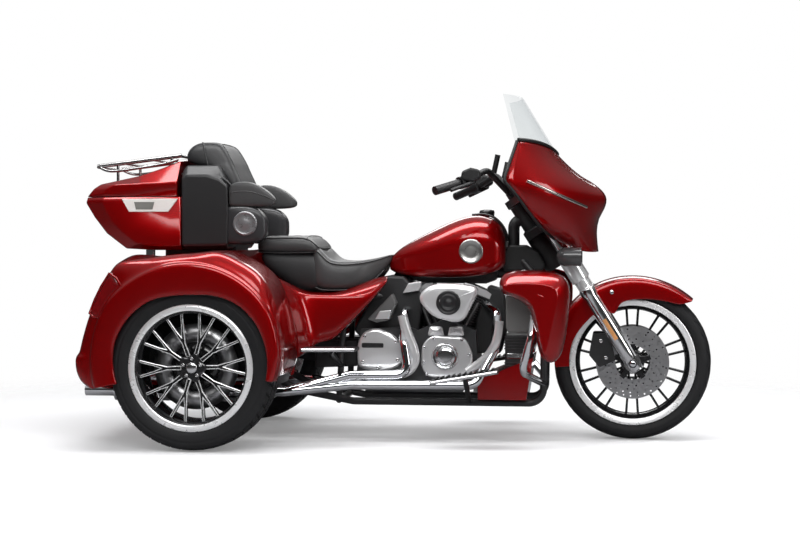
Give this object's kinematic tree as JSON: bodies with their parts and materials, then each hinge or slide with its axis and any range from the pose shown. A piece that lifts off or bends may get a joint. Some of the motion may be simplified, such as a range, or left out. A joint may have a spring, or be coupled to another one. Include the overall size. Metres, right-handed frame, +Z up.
{
  "type": "motorized touring trike",
  "caption": "Three-wheeled touring motorcycle with a fork fairing, V-twin engine, wide rear body with trunk, and a top case with backrest.",
  "frame": {"origin": "on the floor below the middle of the whole length and width", "axes": "+X forward, +Y to the rider's left, +Z up"},
  "size_m": [2.5785, 1.384, 1.405],
  "materials": {
    "red_paint": "deep metallic red gloss",
    "black_paint": "satin black",
    "fin_black": "satin black with bright fin edges",
    "chrome": "polished",
    "silver": "silver gloss",
    "leather": "black, seamed",
    "black_rubber": "ribbed",
    "tyre": "black",
    "wheel_black": "black with machined edges",
    "rotor_steel": "turned",
    "screen": "clear",
    "lamp_lens": "clear over red"
  },
  "bodies": {
    "chassis": {"frame": "black_paint", "engine_block": "black_paint", "cylinders": "fin_black", "rocker_covers": "chrome", "gearcase_cover": "chrome", "gearbox_cover": "chrome", "primary_cover": "chrome", "air_cleaner": "silver", "exhaust": "chrome", "fuel_tank": "red_paint", "seat": "leather", "side_covers": "red_paint", "rear_body": "red_paint", "rear_axle": "black_paint", "tail_lamps": "lamp_lens", "topcase_base": "red_paint", "backrest": "leather", "armrests": "leather", "speaker_pods": "black_paint", "engine_guard": "chrome", "lower_fairings": "red_paint", "chin_panel": "red_paint", "footboards": "black_rubber"},
    "steering": {"triple_clamps": "black_paint", "fork_legs": "chrome", "front_axle": "chrome", "handlebar": "chrome", "hand_controls": "black_rubber", "fairing": "red_paint", "dash": "black_paint", "windscreen": "screen", "headlamp": "chrome", "signals": "chrome", "front_fender": "red_paint", "brake_calipers": "black_paint"},
    "front_wheel": {"front_tyre": "tyre", "front_rim": "wheel_black", "front_rotors": "rotor_steel"},
    "rear_wheel_right": {"rear_tyre_right": "tyre", "rear_rim_right": "wheel_black"},
    "rear_wheel_left": {"rear_tyre_left": "tyre", "rear_rim_left": "wheel_black"},
    "topcase_lid": {"topcase_lid": "red_paint", "luggage_rack": "chrome"},
    "trunk_door": {"trunk_door": "red_paint"}
  },
  "joints": [
    {"name": "steering_turn", "type": "hinge", "parent": "chassis", "child": "steering", "pos_m": [0.52901, 0, 0.912], "axis": [-0.5299, 0, 0.848], "range_deg": [-30, 30]},
    {"name": "front_wheel_spin", "type": "hinge", "parent": "steering", "child": "front_wheel", "pos_m": [0.97, 0, 0.3195], "axis": [0, 1, 0], "continuous": true},
    {"name": "rear_wheel_right_spin", "type": "hinge", "parent": "chassis", "child": "rear_wheel_right", "pos_m": [-0.73, -0.5525, 0.325], "axis": [0, 1, 0], "continuous": true},
    {"name": "rear_wheel_left_spin", "type": "hinge", "parent": "chassis", "child": "rear_wheel_left", "pos_m": [-0.73, 0.5525, 0.325], "axis": [0, 1, 0], "continuous": true},
    {"name": "topcase_lid_open", "type": "hinge", "parent": "chassis", "child": "topcase_lid", "pos_m": [-1.03, 0.281, 0.9965], "axis": [1, 0, 0], "range_deg": [-80, 0]},
    {"name": "trunk_door_open", "type": "hinge", "parent": "chassis", "child": "trunk_door", "pos_m": [-1.281, 0, 0.3315], "axis": [0, -1, 0], "range_deg": [0, 75]}
  ]
}
